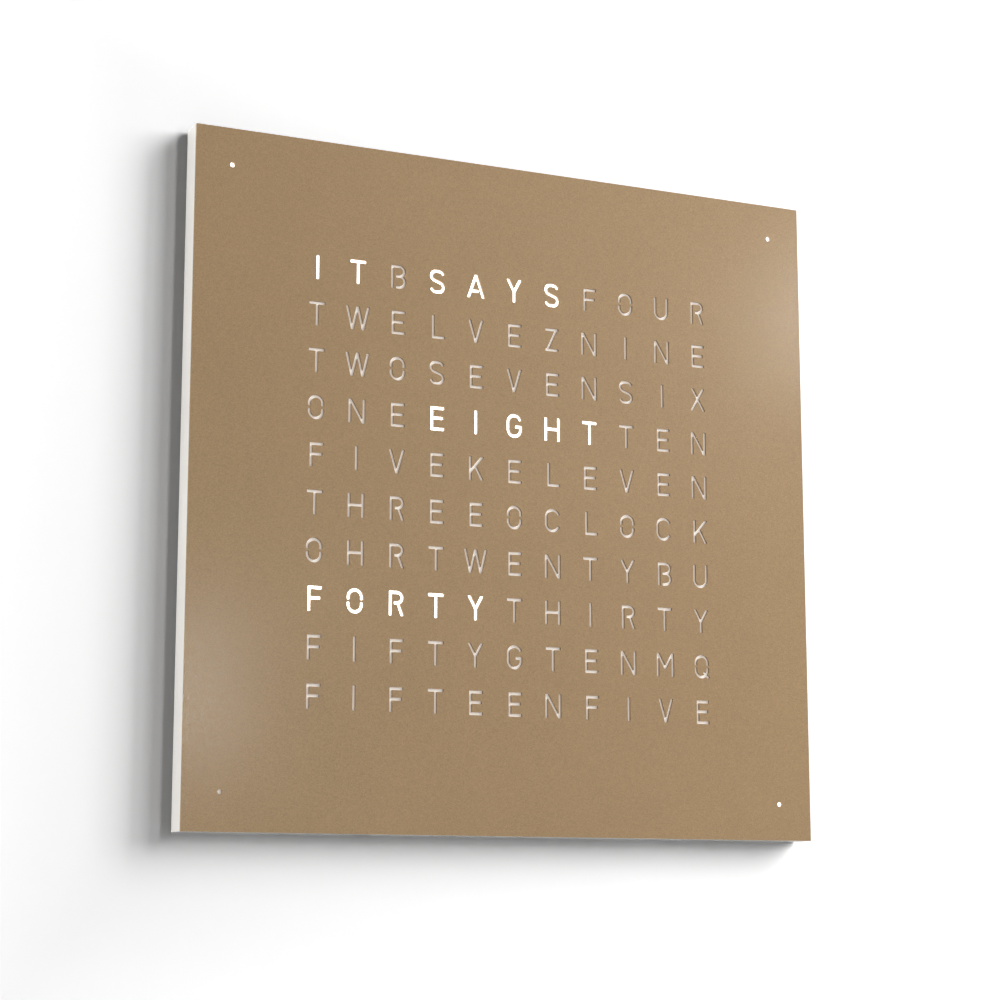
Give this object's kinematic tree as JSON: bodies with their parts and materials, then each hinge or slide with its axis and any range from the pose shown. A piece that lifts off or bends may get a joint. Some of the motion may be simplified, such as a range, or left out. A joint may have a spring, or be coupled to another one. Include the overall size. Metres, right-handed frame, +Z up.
{
  "type": "word clock",
  "caption": "Square wall clock with a coated steel cover whose cut-through letters light up as words, over a slim white housing.",
  "frame": {"origin": "centre of the clock's rear face, which lies on the wall", "axes": "+X to the viewer's right, +Y from the viewer into the wall, +Z up; the cover faces -Y"},
  "size_m": [0.45, 0.019, 0.45],
  "materials": {
    "cover_coat": "satin",
    "white_lacquer": "satin",
    "pin_steel": "satin",
    "magnet_nickel": "polished",
    "opal_plastic": "matte",
    "white_plastic": "matte",
    "led_lamp": "gloss",
    "board_green": "satin",
    "black_plastic": "matte",
    "panel_steel": "satin",
    "screw_steel": "satin",
    "plate_steel": "satin",
    "can_aluminium": "satin",
    "pin_brass": "polished",
    "ferrite_grey": "matte",
    "copper_wire": "satin",
    "lead_grey": "matte",
    "button_white": "satin"
  },
  "bodies": {
    "housing": {"housing_frame": "white_lacquer", "board_standoffs": "pin_steel", "cover_magnets": "magnet_nickel", "clock_crystal": "magnet_nickel", "coin_cell": "magnet_nickel", "diffuser_sheet": "opal_plastic", "light_grid": "white_plastic", "minute_tube_top_left": "white_plastic", "minute_tube_top_right": "white_plastic", "minute_tube_bottom_left": "white_plastic", "minute_tube_bottom_right": "white_plastic", "antenna_clips": "white_plastic", "lead_clips": "white_plastic", "ribbon_connectors": "white_plastic", "lead_connectors": "white_plastic", "letter_leds": "led_lamp", "minute_leds": "led_lamp", "led_board": "board_green", "controller_board": "board_green", "receiver_board": "board_green", "button_board": "board_green", "minute_board_top_left": "board_green", "minute_board_top_right": "board_green", "minute_board_bottom_left": "board_green", "minute_board_bottom_right": "board_green", "led_driver_chips": "black_plastic", "microcontroller": "black_plastic", "voltage_regulator": "black_plastic", "light_sensor": "black_plastic", "power_jack": "black_plastic", "coin_cell_holder": "black_plastic", "tact_switch_1": "black_plastic", "tact_switch_2": "black_plastic", "tact_switch_3": "black_plastic", "tact_switch_4": "black_plastic", "rear_panel": "panel_steel", "board_screws": "screw_steel", "rear_panel_screws": "screw_steel", "hanger_plate_left": "plate_steel", "hanger_plate_right": "plate_steel", "hanger_rivets": "plate_steel", "capacitors": "can_aluminium", "power_jack_pin": "pin_brass", "ferrite_rod": "ferrite_grey", "antenna_coil": "copper_wire", "antenna_lead": "copper_wire", "receiver_lead": "lead_grey", "button_lead": "lead_grey", "minute_leads": "lead_grey", "ribbon_cable": "lead_grey"},
    "cover": {"front_cover": "cover_coat", "locating_pins": "pin_steel"},
    "button_1": {"button_cap_1": "button_white", "switch_plunger_1": "pin_brass"},
    "button_2": {"button_cap_2": "button_white", "switch_plunger_2": "pin_brass"},
    "button_3": {"button_cap_3": "button_white", "switch_plunger_3": "pin_brass"},
    "button_4": {"button_cap_4": "button_white", "switch_plunger_4": "pin_brass"}
  },
  "joints": [
    {"name": "cover_pull", "type": "slide", "parent": "housing", "child": "cover", "axis": [0, -1, 0], "range_m": [0, 0.08]},
    {"name": "button_press_1", "type": "slide", "parent": "housing", "child": "button_1", "axis": [0, 0, 1], "range_m": [0, 0.0008], "stiffness_N_per_m": 2500, "springref_m": -0.0002},
    {"name": "button_press_2", "type": "slide", "parent": "housing", "child": "button_2", "axis": [0, 0, 1], "range_m": [0, 0.0008], "stiffness_N_per_m": 2500, "springref_m": -0.0002},
    {"name": "button_press_3", "type": "slide", "parent": "housing", "child": "button_3", "axis": [0, 0, 1], "range_m": [0, 0.0008], "stiffness_N_per_m": 2500, "springref_m": -0.0002},
    {"name": "button_press_4", "type": "slide", "parent": "housing", "child": "button_4", "axis": [0, 0, 1], "range_m": [0, 0.0008], "stiffness_N_per_m": 2500, "springref_m": -0.0002}
  ]
}
